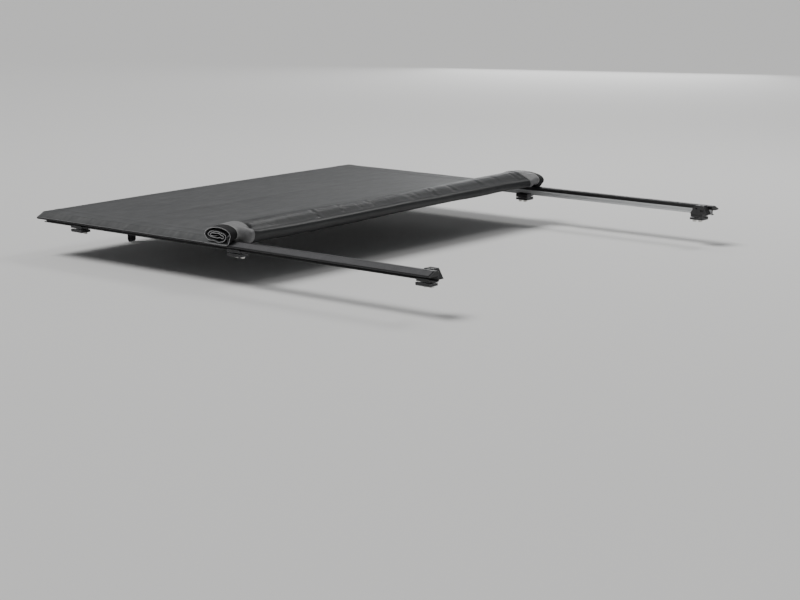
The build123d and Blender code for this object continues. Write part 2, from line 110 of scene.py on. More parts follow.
class Mat(Nodes):
    """A procedural material in object coordinates (metres)."""

    def __init__(self, name):
        self.material = bpy.data.materials.new(name)
        self.material.use_nodes = True
        super().__init__(self.material.node_tree)
        self.shader = self.tree.nodes["Principled BSDF"]
        self.place = self.add("TexCoord", {}).outputs["Object"]
        self.normal = None

    def put(self, socket, value):
        self.feed(self.shader.inputs[socket], value)

    def noise(self, scale, detail=3.0, rough=0.5, stretch=None):
        place = self.place
        if stretch:
            place = self.add("Mapping", {"Vector": place, "Scale": stretch}).outputs[0]
        inputs = {"Vector": place, "Scale": scale, "Detail": detail, "Roughness": rough}
        return self.add("TexNoise", inputs).outputs["Fac"]

    def cells(self, scale, feature="F1", randomness=1.0):
        inputs = {"Vector": self.place, "Scale": scale, "Randomness": randomness}
        return self.add("TexVoronoi", inputs, feature=feature).outputs["Distance"]

    def wave(self, scale, axis="X", distortion=0.0, profile="SIN"):
        inputs = {"Vector": self.place, "Scale": scale, "Distortion": distortion}
        node = self.add("TexWave", inputs, bands_direction=axis, wave_profile=profile)
        return node.outputs["Fac"]

    def levels(self, x, low, high):
        """Run from low to high as x goes from 0.3 to 0.7."""
        return self.ramp(x, (0.3, low), (0.7, high))

    def math(self, operation, a, b=0.0):
        return self.add("Math", {0: a, 1: b}, operation=operation).outputs[0]

    def times(self, a, b):
        return self.math("MULTIPLY", a, b)

    def weighted(self, *parts):
        """Sum of (texture, weight) pairs."""
        total, *rest = [self.times(texture, weight) for texture, weight in parts]
        for part in rest:
            total = self.math("ADD", total, part)
        return total

    def mix(self, share, a, b):
        return self.add("Mix", {0: share, 6: a, 7: b}, data_type="RGBA").outputs[2]

    def bump(self, height, strength, distance):
        """Add relief on top of any earlier relief."""
        inputs = {"Strength": strength, "Distance": distance, "Height": height}
        if self.normal is not None:
            inputs["Normal"] = self.normal
        self.normal = self.add("Bump", inputs).outputs[0]
        self.put("Normal", self.normal)

    def worn(self, base, radius, amount, color):
        """Base colour with another colour showing along the edges."""
        rounded = self.add("Bevel", {"Radius": radius}, samples=4).outputs[0]
        true = self.add("NewGeometry", {}).outputs["Normal"]
        match = self.add("VectorMath", {0: rounded, 1: true}, operation="DOT_PRODUCT")
        edge = self.ramp(match.outputs["Value"], (0.80, 1.0), (0.985, 0.0))
        return self.mix(self.times(edge, amount), base, color)


# ------------------------------------------------------------------ materials
def vinyl_top():
    """Leather-grain coated fabric, the weather side of the sheet."""
    mat = Mat("vinyl_top")
    blotch = mat.noise(scale=2.2, rough=0.55)
    streak = mat.noise(scale=1.0, detail=5, rough=0.65, stretch=(1.6, 42.0, 8.0))
    mottle = mat.noise(scale=46, detail=4, rough=0.7, stretch=(0.35, 1.6, 1.0))
    fine = mat.noise(scale=420, rough=0.6)
    shade = mat.weighted((blotch, 0.20), (streak, 0.32), (mottle, 0.42), (fine, 0.06))
    mat.put("Base Color", mat.ramp(shade, (0.39, (0.029, 0.031, 0.032)),
                                   (0.50, (0.050, 0.052, 0.053)), (0.61, (0.080, 0.082, 0.083))))
    mat.put("Roughness", mat.levels(mat.weighted((streak, 0.6), (blotch, 0.4)), 0.46, 0.62))
    mat.put("Specular IOR Level", 0.5)
    mat.put("Sheen Weight", 0.04)
    mat.bump(mat.cells(scale=760, feature="SMOOTH_F1"), strength=0.30, distance=0.00022)
    mat.bump(mat.noise(scale=1900, detail=2, rough=0.6), strength=0.18, distance=0.0001)
    mat.bump(mat.noise(scale=26, stretch=(1, 2.4, 1)), strength=0.22, distance=0.0011)
    return mat.material


def vinyl_under():
    """Smooth coated underside, which is the outside of the roll."""
    mat = Mat("vinyl_under")
    blotch = mat.noise(scale=5, rough=0.55)
    scuff = mat.noise(scale=60, detail=5, rough=0.7, stretch=(1, 6, 6))
    shade = mat.weighted((blotch, 0.6), (scuff, 0.4))
    mat.put("Base Color", mat.ramp(shade, (0.30, (0.010, 0.011, 0.012)),
                                   (0.55, (0.016, 0.017, 0.018)), (0.75, (0.027, 0.028, 0.029))))
    mat.put("Roughness", mat.levels(scuff, 0.38, 0.50))
    mat.put("Specular IOR Level", 0.32)
    mat.put("Coat Weight", 0.10)
    mat.put("Coat Roughness", 0.25)
    weave = mat.times(mat.wave(scale=330), mat.wave(scale=330, axis="DIAGONAL"))
    mat.bump(weave, strength=0.10, distance=0.00012)
    mat.bump(mat.noise(scale=34, detail=4, rough=0.55), strength=0.30, distance=0.0012)
    mat.bump(mat.noise(scale=700, detail=2, rough=0.6), strength=0.10, distance=0.0001)
    return mat.material


def fabric_edge():
    """Cut edge of the coated fabric: pale scrim between two dark skins."""
    mat = Mat("fabric_edge")
    fibre = mat.noise(scale=900, rough=0.7)
    mat.put("Base Color", mat.levels(fibre, (0.24, 0.24, 0.25), (0.50, 0.50, 0.51)))
    mat.put("Roughness", 0.85)
    mat.bump(fibre, strength=0.5, distance=0.0003)
    return mat.material


def loop_tape():
    """Napped black loop tape."""
    mat = Mat("loop_tape")
    fuzz = mat.noise(scale=1300, detail=4, rough=0.75)
    clump = mat.noise(scale=190, rough=0.6)
    wear = mat.noise(scale=16, rough=0.6)
    shade = mat.weighted((fuzz, 0.5), (clump, 0.25), (wear, 0.25))
    mat.put("Base Color", mat.ramp(shade, (0.32, (0.006, 0.006, 0.007)),
                                   (0.5, (0.012, 0.012, 0.013)), (0.7, (0.026, 0.026, 0.028))))
    mat.put("Roughness", 0.94)
    mat.put("Specular IOR Level", 0.3)
    mat.put("Sheen Weight", 0.10)
    mat.put("Sheen Roughness", 0.5)
    mat.bump(fuzz, strength=0.7, distance=0.0006)
    mat.bump(clump, strength=0.4, distance=0.0010)
    return mat.material


def hook_tape():
    """Dark hook tape, paler at the hooks."""
    mat = Mat("hook_tape")
    hooks = mat.cells(scale=700, randomness=0.35)
    shade = mat.weighted((hooks, 0.7), (mat.noise(scale=40, rough=0.6), 0.3))
    mat.put("Base Color", mat.ramp(shade, (0.15, (0.115, 0.115, 0.12)),
                                   (0.45, (0.070, 0.070, 0.074)), (0.8, (0.030, 0.030, 0.032))))
    mat.put("Roughness", 0.72)
    mat.bump(mat.math("SUBTRACT", 1.0, hooks), strength=0.8, distance=0.0009)
    return mat.material


def edge_band():
    """Matt grey reinforcing fabric beside the loop tape: fine weave, scuffed by the rails."""
    mat = Mat("edge_band")
    weave = mat.times(mat.wave(scale=420), mat.wave(scale=420, axis="Y"))
    rub = mat.noise(scale=24, detail=4, rough=0.65, stretch=(1, 3, 3))
    shade = mat.weighted((rub, 0.55), (mat.noise(scale=6, rough=0.6), 0.45))
    mat.put("Base Color", mat.ramp(shade, (0.30, (0.125, 0.125, 0.127)),
                                   (0.5, (0.190, 0.190, 0.193)), (0.72, (0.290, 0.290, 0.292))))
    mat.put("Roughness", mat.levels(rub, 0.40, 0.58))
    mat.put("Sheen Weight", 0.10)
    mat.bump(weave, strength=0.35, distance=0.00025)
    mat.bump(rub, strength=0.35, distance=0.0009)
    return mat.material


def reflection_face_mask(mat):
    """Mask for the low faces of the side rails that look towards the centre line, where a painted
    reflection goes.
    """
    geometry = mat.add("NewGeometry", {})
    place = mat.add("SeparateXYZ", {0: geometry.outputs["Position"]}).outputs
    facing = mat.add("SeparateXYZ", {0: geometry.outputs["True Normal"]}).outputs
    across = mat.times(mat.times(place["X"], facing["X"]), -1.2)
    inward = mat.ramp(across, (0.70, 0.0), (0.86, 1.0))
    below = mat.ramp(mat.times(place["Z"], 40.0), (0.13, 1.0), (0.17, 0.0))
    near = mat.ramp(mat.math("ABSOLUTE", place["X"]), (0.8025, 1.0), (0.8060, 0.0))
    return mat.times(mat.times(inward, below), near)


def anodised(name, tone, side_rail=False):
    """Black anodised extrusion with die lines along its length, rubbed corners and dirt.

    A side rail runs along Y, a bar along X; a side rail's low inner face gets a pale metal
    colour, a painted reflection.
    """
    mat = Mat(name)
    die = mat.noise(scale=9, detail=4, rough=0.65,
                    stretch=(60, 0.8, 60) if side_rail else (0.8, 60, 60))
    dirt = mat.noise(scale=12, detail=4, rough=0.6)
    base = mat.levels(die, tone * 0.75, (tone * 1.35, tone * 1.35, tone * 1.42))
    base = mat.worn(base, radius=0.0009, amount=0.55, color=(0.30, 0.30, 0.31))
    dirty = mat.times(mat.ramp(dirt, (0.56, 0.0), (0.75, 0.35)), 1.0)
    base = mat.mix(dirty, base, (0.10, 0.095, 0.088))
    rough = mat.levels(mat.weighted((die, 0.5), (dirt, 0.5)), 0.26, 0.40)
    if side_rail:
        # painted reflection: a pale base colour on the low inner faces stands in for the bright
        # reflection on the web
        painted_reflection = reflection_face_mask(mat)
        base = mat.mix(painted_reflection, base, mat.levels(die, (0.60, 0.61, 0.62), (0.80, 0.81, 0.82)))
        rough = mat.mix(painted_reflection, rough, 0.52)
    mat.put("Base Color", base)
    mat.put("Metallic", 0.72)
    mat.put("Roughness", rough)
    mat.bump(die, strength=0.18, distance=0.00015)
    mat.bump(mat.noise(scale=1500, detail=2, rough=0.6), strength=0.06, distance=0.00008)
    return mat.material


def bare_aluminium():
    """Bare extrusion with die lines along X."""
    mat = Mat("bare_aluminium")
    die = mat.noise(scale=9, detail=4, rough=0.65, stretch=(0.8, 60, 60))
    mat.put("Base Color", mat.levels(die, (0.46, 0.46, 0.47), (0.66, 0.66, 0.67)))
    mat.put("Metallic", 1.0)
    mat.put("Roughness", mat.levels(mat.noise(scale=20, detail=4, rough=0.6), 0.30, 0.48))
    mat.bump(die, strength=0.25, distance=0.0002)
    return mat.material


def zinc():
    """Spangled zinc plate."""
    mat = Mat("zinc_plate")
    grain = mat.noise(scale=240, detail=4, rough=0.7)
    shade = mat.weighted((grain, 0.6), (mat.cells(scale=520), 0.5))
    mat.put("Base Color", mat.ramp(shade, (0.2, (0.58, 0.57, 0.52)),
                                   (0.5, (0.74, 0.73, 0.70)), (0.8, (0.84, 0.84, 0.83))))
    mat.put("Metallic", 1.0)
    mat.put("Roughness", mat.levels(grain, 0.20, 0.38))
    mat.bump(grain, strength=0.15, distance=0.0002)
    return mat.material


def threaded():
    """Bright zinc bolt with thread-like ridges up its height."""
    mat = Mat("zinc_bolt")
    grain = mat.noise(scale=240, detail=4, rough=0.7)
    mat.put("Base Color", mat.levels(grain, (0.60, 0.59, 0.55), (0.82, 0.81, 0.79)))
    mat.put("Metallic", 1.0)
    mat.put("Roughness", mat.levels(grain, 0.18, 0.34))
    mat.bump(mat.wave(scale=250, axis="Z", profile="TRI"), strength=0.35, distance=0.0004)
    mat.bump(grain, strength=0.12, distance=0.0002)
    return mat.material


def tumbled():
    """Dark tumbled aluminium, bright along its edges."""
    mat = Mat("tumbled_aluminium")
    grain = mat.noise(scale=150, detail=5, rough=0.7)
    base = mat.levels(grain, (0.040, 0.040, 0.042), (0.075, 0.075, 0.078))
    mat.put("Base Color", mat.worn(base, radius=0.0012, amount=0.6, color=(0.42, 0.42, 0.43)))
    mat.put("Metallic", 0.75)
    mat.put("Roughness", mat.levels(grain, 0.38, 0.55))
    mat.bump(grain, strength=0.25, distance=0.0004)
    return mat.material


def cast_black():
    """Black casting with a coarse skin."""
    mat = Mat("cast_black")
    grain = mat.noise(scale=420, detail=5, rough=0.75)
    base = mat.levels(mat.noise(scale=60, rough=0.6),
                      (0.016, 0.016, 0.017), (0.034, 0.034, 0.036))
    mat.put("Base Color", mat.worn(base, radius=0.0014, amount=0.45, color=0.22))
    mat.put("Roughness", mat.levels(grain, 0.40, 0.62))
    mat.bump(grain, strength=0.55, distance=0.0005)
    return mat.material


def moulded(name, tone, rough=0.5):
    """Moulded plastic of a given colour."""
    mat = Mat(name)
    grain = mat.noise(scale=700, rough=0.7)
    base = mat.levels(mat.noise(scale=18, rough=0.6),
                      tuple(c * 0.8 for c in tone), tuple(c * 1.25 for c in tone))
    mat.put("Base Color", mat.worn(base, radius=0.0008, amount=0.25, color=0.16))
    mat.put("Roughness", mat.levels(grain, rough - 0.08, rough + 0.10))
    mat.bump(grain, strength=0.25, distance=0.0002)
    return mat.material


def rubber():
    """Cellular black seal rubber."""
    mat = Mat("seal_rubber")
    mat.put("Base Color", mat.levels(mat.noise(scale=30, rough=0.6), 0.012,
                                     (0.030, 0.029, 0.028)))
    mat.put("Roughness", mat.levels(mat.noise(scale=500, detail=4, rough=0.7), 0.70, 0.92))
    mat.bump(mat.cells(scale=1100), strength=0.4, distance=0.0003)
    return mat.material


def webbing():
    """Woven black webbing: ribs along Z crossed by finer ones along X."""
    mat = Mat("webbing")
    weave = mat.times(mat.wave(scale=300, axis="Z", distortion=0.4),
                      mat.wave(scale=260, distortion=0.2))
    shade = mat.weighted((weave, 0.6), (mat.noise(scale=260, rough=0.6), 0.4))
    mat.put("Base Color", mat.ramp(shade, (0.15, (0.012, 0.012, 0.013)),
                                   (0.5, (0.028, 0.028, 0.030)), (0.8, (0.055, 0.055, 0.058))))
    mat.put("Roughness", 0.86)
    mat.put("Sheen Weight", 0.2)
    mat.bump(weave, strength=0.8, distance=0.0006)
    mat.bump(mat.noise(scale=1600, detail=2, rough=0.7), strength=0.3, distance=0.0002)
    return mat.material


def wire():
    """Bright spring wire."""
    mat = Mat("spring_wire")
    grain = mat.noise(scale=400, rough=0.7)
    mat.put("Base Color", mat.levels(grain, 0.36, (0.56, 0.56, 0.55)))
    mat.put("Metallic", 1.0)
    mat.put("Roughness", mat.levels(grain, 0.25, 0.42))
    mat.bump(grain, strength=0.2, distance=0.0001)
    return mat.material


def thread(name, tone):
    """Twisted sewing thread of a given grey."""
    mat = Mat(name)
    fibre = mat.noise(scale=1500, detail=2, rough=0.6)
    mat.put("Base Color", mat.levels(fibre, tone * 0.7, tone * 1.3))
    mat.put("Roughness", 0.6)
    mat.bump(mat.wave(scale=900, axis="DIAGONAL"), strength=0.5, distance=0.0002)
    return mat.material


VINYL = vinyl_top()
UNDER = vinyl_under()
EDGE = fabric_edge()
LOOP = loop_tape()
HOOK = hook_tape()
BAND = edge_band()
RAIL = anodised("anodised_side", tone=0.030, side_rail=True)
BAR = anodised("anodised_bar", tone=0.034)
ALU = bare_aluminium()
ZINC = zinc()
BOLT = threaded()
CLAMP = tumbled()
CAST = cast_black()
CAP = moulded("moulded_black", tone=(0.022, 0.022, 0.023))
LATCH = moulded("moulded_latch", tone=(0.034, 0.034, 0.037), rough=0.42)
PULL = moulded("moulded_pull", tone=(0.26, 0.030, 0.018), rough=0.36)
SEAL = rubber()
WEB = webbing()
WIRE = wire()
THREAD_DARK = thread("thread_dark", tone=0.045)
THREAD_LIGHT = thread("thread_light", tone=0.42)

# pattern in the CAD piece's name, material; the first match counts
DRESSING = (
    ("side_rail", RAIL), ("^(front_header|rear_bar)$", BAR), ("hook_strip", HOOK),
    ("seal", SEAL), ("end_caps|_tips", CAP), ("^bow_", ALU), ("latch_striker", CAST),
    ("clamp_bolts", BOLT), ("clamp", CLAMP), ("screws|plunger", ZINC),
    ("bracket|anchor", CAST), ("spring", WIRE), ("housing|buckle", LATCH),
    ("finger_pull", PULL), ("strap", WEB), ("loop_band", LOOP), ("edge_band", BAND),
    ("", UNDER),
)
for node_name in NODES:
    slots = NODES[node_name].data.materials
    slots.clear()
    slots.append(next(mat for pattern, mat in DRESSING if re.search(pattern, node_name)))


# --------------------------------------------------------------- mesh helpers
def make(name, verts, faces, materials, material_index=None):
    """Smooth-shaded object from points in mm."""
    mesh = bpy.data.meshes.new(name)
    mesh.from_pydata([tuple(v) for v in np.asarray(verts) * MM], [],
                     [tuple(int(i) for i in face) for face in faces])
    for material in materials:
        mesh.materials.append(material)
    if material_index is not None:
        mesh.polygons.foreach_set("material_index", np.asarray(material_index, np.int32))
    mesh.polygons.foreach_set("use_smooth", [True] * len(mesh.polygons))
    mesh.update()
    piece = bpy.data.objects.new(name, mesh)
    bpy.context.scene.collection.objects.link(piece)
    return piece


def normals(grid):
    """Unit normals of a grid of points: row direction x column direction."""
    normal = np.cross(np.gradient(grid, axis=0), np.gradient(grid, axis=1))
    return normal / np.maximum(np.linalg.norm(normal, axis=2, keepdims=True), 1e-9)


def upward_normals(grid):
    normal = normals(grid)
    normal[normal[..., 2] < 0] *= -1
    return normal


def solid(name, grid, normal, above, below, materials, reverse=False):
    """Closed skin round a grid; materials are for the skin above, the one below and the rim."""
    rows, columns = grid.shape[:2]
    verts = np.concatenate([(grid + normal * above).reshape(-1, 3),
                            (grid - normal * below).reshape(-1, 3)])
    top = np.arange(rows * columns).reshape(rows, columns)
    low = top + rows * columns
    faces = [
        np.stack([top[:-1, :-1], top[1:, :-1], top[1:, 1:], top[:-1, 1:]], -1).reshape(-1, 4),
        np.stack([low[:-1, :-1], low[:-1, 1:], low[1:, 1:], low[1:, :-1]], -1).reshape(-1, 4),
    ]
    for line, flip in ((np.s_[0, :], 0), (np.s_[-1, :], 1), (np.s_[:, 0], 1), (np.s_[:, -1], 0)):
        a, b = top[line], low[line]
        rim = np.stack([a[:-1], a[1:], b[1:], b[:-1]], -1)
        faces.append(rim[:, ::-1] if flip else rim)
    index = np.repeat([0, 1, 2, 2, 2, 2], [len(part) for part in faces])
    faces = np.concatenate(faces)
    return make(name, verts, faces[:, ::-1] if reverse else faces, materials, index)


def shell(name, grid, half, materials, flip=False):
    """Solid of thickness 2 * half centred on a grid, with hard edges round its cut rim."""
    normal = normals(grid) * (-1 if flip else 1)
    piece = solid(name, grid, normal, half, half, materials, flip)
    mesh = piece.data
    touching = {}
    for polygon in mesh.polygons:
        for key in polygon.edge_keys:
            touching.setdefault(key, set()).add(polygon.material_index == 2)
    sharp = [len(touching.get(edge.key, ())) == 2 for edge in mesh.edges]
    attribute = (mesh.attributes.get("sharp_edge")
                 or mesh.attributes.new("sharp_edge", "BOOLEAN", "EDGE"))
    attribute.data.foreach_set("value", sharp)
    return piece


def draped(name, grid, laid, above, below, materials):
    """Solid whose upper side and winding are read from how the grid lies when laid out."""
    turn = np.cross(laid[1, 0] - laid[0, 0], laid[0, 1] - laid[0, 0])
    return solid(name, grid, upward_normals(laid), above, below, materials, turn[2] < 0)


def tube_faces(first, rings, sides):
    """Quads round a tube of rings that starts at vertex number first."""
    faces = []
    for i in range(rings - 1):
        here, there = first + i * sides, first + (i + 1) * sides
        for j in range(sides):
            k = (j + 1) % sides
            faces.append((here + j, there + j, there + k, here + k))
    return faces


def smooth01(t):
    t = np.clip(t, 0, 1)
    return t * t * (3 - 2 * t)


def inverse_smooth01(value):
    t = np.linspace(0, 1, 4001)
    return np.interp(value, smooth01(t), t)


def fade_in(x, start, length):
    """0 before start, easing to 1 over length; a negative length runs backwards."""
    return smooth01((x - start) / length)


def fade_out(x, start, length):
    return 1 - fade_in(x, start, length)


def bell(x, centre, width):
    return np.exp(-((x - centre) / width) ** 2)


def arch(x, start, length):
    """Half a sine wave over length, 0 elsewhere."""
    return np.sin(np.clip((x - start) / length, 0, 1) * math.pi)


def lookup(table, x):
    """Straight-line value between (x, value) stations."""
    return np.interp(x, *zip(*table))


class Waves:
    """Seeded smooth noise: a sum of sines, the shorter the weaker."""

    def __init__(self, seed, count, shortest, longest, along_x=1.0, along_y=1.0):
        rng = np.random.default_rng(seed)
        length = np.exp(rng.uniform(math.log(shortest), math.log(longest), count))
        angle = rng.uniform(0, 2 * math.pi, count)
        self.rate_x = 2 * math.pi / length * np.cos(angle) * along_x
        self.rate_y = 2 * math.pi / length * np.sin(angle) * along_y
        self.phase = rng.uniform(0, 2 * math.pi, count)
        self.height = (length / longest) ** 0.6
        self.height /= np.sqrt((self.height ** 2).sum() / 2)

    def __call__(self, x, y=0.0):
        x, y = np.broadcast_arrays(np.asarray(x, float), np.asarray(y, float))
        total = np.zeros(x.shape)
        for rate_x, rate_y, phase, height in zip(
                self.rate_x, self.rate_y, self.phase, self.height):
            total += height * np.sin(rate_x * x + rate_y * y + phase)
        return total


def between(first, second, start, end, at):
    share = (at - start) / (end - start)
    return (1 - share) * first + share * second


def resample(points, count=None, step=None):
    """Centripetal Catmull-Rom through 2-D points, evenly spaced; returns points and arc."""
    pts = np.asarray(points, float)
    knots = np.r_[0, np.cumsum(np.sqrt(np.linalg.norm(np.diff(pts, axis=0), axis=1)))]
    knots = np.r_[2 * knots[0] - knots[1], knots, 2 * knots[-1] - knots[-2]]
    padded = np.concatenate([[2 * pts[0] - pts[1]], pts, [2 * pts[-1] - pts[-2]]])
    fine = []
    for i in range(len(pts) - 1):
        at = np.linspace(knots[i + 1], knots[i + 2], 24, endpoint=False)[:, None]
        legs = [between(padded[k], padded[k + 1], knots[k], knots[k + 1], at)
                for k in range(i, i + 3)]
        bends = [between(legs[k], legs[k + 1], knots[i + k], knots[i + k + 2], at)
                 for k in range(2)]
        fine.append(between(*bends, knots[i + 1], knots[i + 2], at))
    fine = np.concatenate(fine + [pts[-1:]])
    arc = np.r_[0, np.cumsum(np.linalg.norm(np.diff(fine, axis=0), axis=1))]
    if count is None:
        count = int(round(arc[-1] / step)) + 1
    even = np.linspace(0, arc[-1], count)
    return np.stack([np.interp(even, arc, fine[:, k]) for k in range(2)], 1), even


STITCH_LENGTH, STITCH_WIDTH, STITCH_HEIGHT, STITCH_SINK = 3.4, 0.75, 0.55, 0.08
STITCH_PITCH = 5.0
# place along a stitch in lengths, share of its full girth
STITCH_RINGS = ((-0.5, 0.0), (-0.36, 0.75), (0.0, 1.0), (0.36, 0.75), (0.5, 0.0))
STITCH_ANGLES = [math.radians(a) for a in (-90, -30, 30, 90)]


def stitches(name, centres, along, up):
    """A row of thread stitches: small rounded grains lying on the fabric."""
    verts, faces = [], []
    for centre, ahead, rise in zip(centres, along, up):
        ahead = ahead / np.linalg.norm(ahead)
        rise = rise / np.linalg.norm(rise)
        across = np.cross(rise, ahead)
        faces += tube_faces(len(verts), len(STITCH_RINGS), len(STITCH_ANGLES))
        for place, girth in STITCH_RINGS:
            for angle in STITCH_ANGLES:
                height = math.cos(angle) * girth * STITCH_HEIGHT - STITCH_SINK
                verts.append(centre + ahead * place * STITCH_LENGTH + rise * height
                             + across * math.sin(angle) * girth * STITCH_WIDTH / 2)
    return make(name, np.array(verts), faces, [THREAD_DARK])


# ---------------------------------------------------------- shape of the sheet
CREASE_X, RAIL_TOP = 817.0, 17.5    # where the rail's flat top turns down outwards
SLOPE = math.atan2(RAIL_TOP - 4.0, 28.0)
HEM = 31.2                          # from the crease down the slope to the hem
CREASE_RADIUS = 9.0
HALF = 0.65                         # half the fabric's thickness
OFFSET = 2.6 + HALF                 # from the rail to the middle of the fabric
SHEET_STEP, PAYOUT_STEP = 6.5, 9.0  # spacing of section points
TUCK_Y = -50.5      # where the flat sheet ends inside the roll and the gathered part takes over
FABRIC = [VINYL, UNDER, EDGE]


def half_section(step):
    """X, Z of the middle of the sheet, from the centre line to the right hem."""
    crease = np.array([CREASE_X + OFFSET * math.tan(SLOPE / 2), RAIL_TOP + OFFSET])
    hem = np.array([CREASE_X + HEM * math.cos(SLOPE) + OFFSET * math.sin(SLOPE),
                    RAIL_TOP - HEM * math.sin(SLOPE) + OFFSET * math.cos(SLOPE)])
    flat_end = crease[0] - CREASE_RADIUS * math.tan(SLOPE / 2)
    points = [(x, crease[1]) for x in [*np.arange(0, flat_end - 2, step), flat_end]]
    for i in range(1, 7):
        angle = SLOPE * i / 6
        points.append((flat_end + CREASE_RADIUS * math.sin(angle),
                       crease[1] - CREASE_RADIUS * (1 - math.cos(angle))))
    last = np.array(points[-1])
    points += [tuple(last + (hem - last) * i / 8) for i in range(1, 9)]
    return np.array(points)


def section(step):
    """The sheet's section from the left hem to the right."""
    half = half_section(step)
    return np.concatenate([half[:0:-1] * [-1, 1], half])


def margin_section(x_from, x_to, count, side):
    """Part of the section between two distances from the centre line, on one side."""
    half = half_section(SHEET_STEP)
    x = np.linspace(x_from, x_to, count)
    return np.stack([x, np.interp(x, half[:, 0], half[:, 1])], 1) * [side, 1]


SHEET_WAVES = Waves(seed=11, count=22, shortest=90, longest=700, along_x=0.8, along_y=1.3)
FINE_WAVES = Waves(seed=12, count=30, shortest=28, longest=120, along_x=0.45, along_y=1.6)
BOWS = (200.0, 500.0)
SPANS = ((60, 200), (200, 500), (500, 830))
LIFT, CROWN, BOW_RIDGE = 1.4, 2.8, 1.0      # overall lift, doming at mid-width, ridge on a bow


def flat_and_dome(x):
    """Share that lies on the flat, and a parabola that is 1 on the centre line."""
    return fade_out(np.abs(x), 812, 18), np.clip(1 - (x / 815.0) ** 2, 0, None)


def sheet_rise(x, y):
    """Height of the sheet over the flat CAD sheet."""
    out = np.abs(x)
    flat, dome = flat_and_dome(x)
    z = LIFT * flat + CROWN * dome * (1 - 0.25 * fade_in(y, 120, -120))
    # each bow: a broad ridge, a narrow one on its rear side and a dip on its front side
    for bow in BOWS:
        ridge = BOW_RIDGE * bell(y, bow, 24) + 0.35 * bell(y, bow - 12, 3.2)
        z = z + (ridge - 0.30 * bell(y, bow + 14, 5)) * dome ** 0.5
    z = z + 1.2 * bell(y, 836, 20) * flat       # front header
    z = z - 0.9 * sum(arch(y, start, end - start) for start, end in SPANS) * dome ** 0.7
    # the band and the rail's inner edge telegraph through near each side
    z = z + 0.45 * np.tanh((out - 742) / 2.2) * flat * np.exp(-np.clip(out - 742, 0, None) / 60)
    groove = bell(out, 778 + 3 * np.sin(y / 170.0), 7)
    z = z - 0.7 * groove * (0.6 + 0.4 * np.sin(y / 95.0 + x * 0.001))
    z = z + 0.30 * flat * fade_in(y, 850, -60) * SHEET_WAVES(x, y)
    z = z + 0.07 * flat * FINE_WAVES(x, y)
    # small pulls running in from each side where the tape grips
    pull = np.sin((y + 0.35 * (out - 790)) / 11.5 + 1.7 * np.sin(y / 140.0 + np.sign(x)))
    return z + 0.22 * bell(out, 790, 34) * pull


def spread(profile, y):
    """Grids X, Y, Z of a section (rows) repeated at stations y (columns)."""
    x, y = np.meshgrid(profile[:, 0], np.asarray(y, float), indexing="ij")
    return x, y, np.repeat(profile[:, 1][:, None], y.shape[1], 1)


def sheet_points(y, profile):
    x, y, z = spread(profile, y)
    return np.stack([x, y, z + sheet_rise(x, y)], -1)


def slide(piece):
    """Bake the transform of a piece of the sheet into its mesh."""
    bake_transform(piece)


LIP_RADIUS = 2.2        # the sheet turns down over the front header
LIP_DEPTH = 9.2         # drop into the header's channel
LIP_SIDE_DEPTHS = ((795.5, 3.0), (799.0, 1.4))  # beyond this |x|, the drop is less


def cover_sheet():
    """The sheet from the roll to the front header, with its turned-down front lip."""
    profile = section(SHEET_STEP)
    grid = sheet_points([TUCK_Y, *np.arange(-46, 846, 6.0), 848.5, 850.6, 852.2], profile)
    last, normal = grid[:, -1], upward_normals(grid)[:, -1]
    depth = np.full(len(profile), LIP_DEPTH)
    for x_from, drop in LIP_SIDE_DEPTHS:
        depth[np.abs(profile[:, 0]) >= x_from] = drop
    lip = []
    for angle in np.radians([25, 50, 75, 90]):
        lip.append(last + np.array([0, 1.0, 0]) * LIP_RADIUS * math.sin(angle)
                   - normal * (LIP_RADIUS * (1 - math.cos(angle))))
    lip += [lip[3] - normal * (depth * share)[:, None] for share in (0.35, 0.7, 1.0)]
    grid = np.concatenate([grid] + [line[:, None, :] for line in lip], 1)
    sheet = shell("cover_sheet", grid, HALF, FABRIC)
    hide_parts("cover_sheet_front", "cover_sheet_tuck")
    slide(sheet)


cover_sheet()

# bands under each margin: kind, inner and outer distance from the centre line,
# points across, material, slot
MARGINS = (("loop_band", 812.0, 842.0, 11, LOOP, "loop_tape"),
           ("edge_band", 757.0, 811.0, 12, BAND, "edge_band"))
# faces of a band under the sheet, measured from the middle of the fabric
BAND_TOP, BAND_LOW = -0.71, 1.71

for tag, side in SIDES:
    for kind, x_in, x_out, count, material, slot in MARGINS:
        grid = sheet_points([TUCK_Y, *np.arange(-44, 812, 8.0)],
                            margin_section(x_in, x_out, count, side))
        band = draped(kind + "_" + tag, grid, grid, BAND_TOP, BAND_LOW,
                      [material, material, EDGE])
        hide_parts(tag + "_" + kind)
        slide(band)

# stitch rows along the sheet's margins: row, distance from the centre line, slope there
for tag, side in SIDES:
    for row, distance, slope in (("inner", 759.5, 0.0), ("outer", 839.5, SLOPE)):
        y = np.arange(58, 846, STITCH_PITCH)
        half = half_section(SHEET_STEP)
        x = np.full(len(y), distance * side)
        z = np.interp(distance, half[:, 0], half[:, 1]) + sheet_rise(x, y)
        up = np.array([side * math.sin(slope), 0, math.cos(slope)])
        seam = stitches("stitch_%s_%s" % (tag, row), np.stack([x, y, z], 1) + up * 0.62,
                        [np.array([0, 1.0, 0])] * len(y), [up] * len(y))
        slide(seam)

# ------------------------------------------ the gathered part of the sheet
# It pays out as the roll travels to the rear.
GATHER = 4.0            # its length while gathered
PAYOUT_TRAVEL = 782.0   # how far its rear end travels
PAYOUT_LIFT = 29.5      # how much higher its rear end lies while gathered
travel = np.linspace(0, 1, 150)
gathered_y = TUCK_Y - GATHER * inverse_smooth01(travel)
laid_y = gathered_y - PAYOUT_TRAVEL * travel


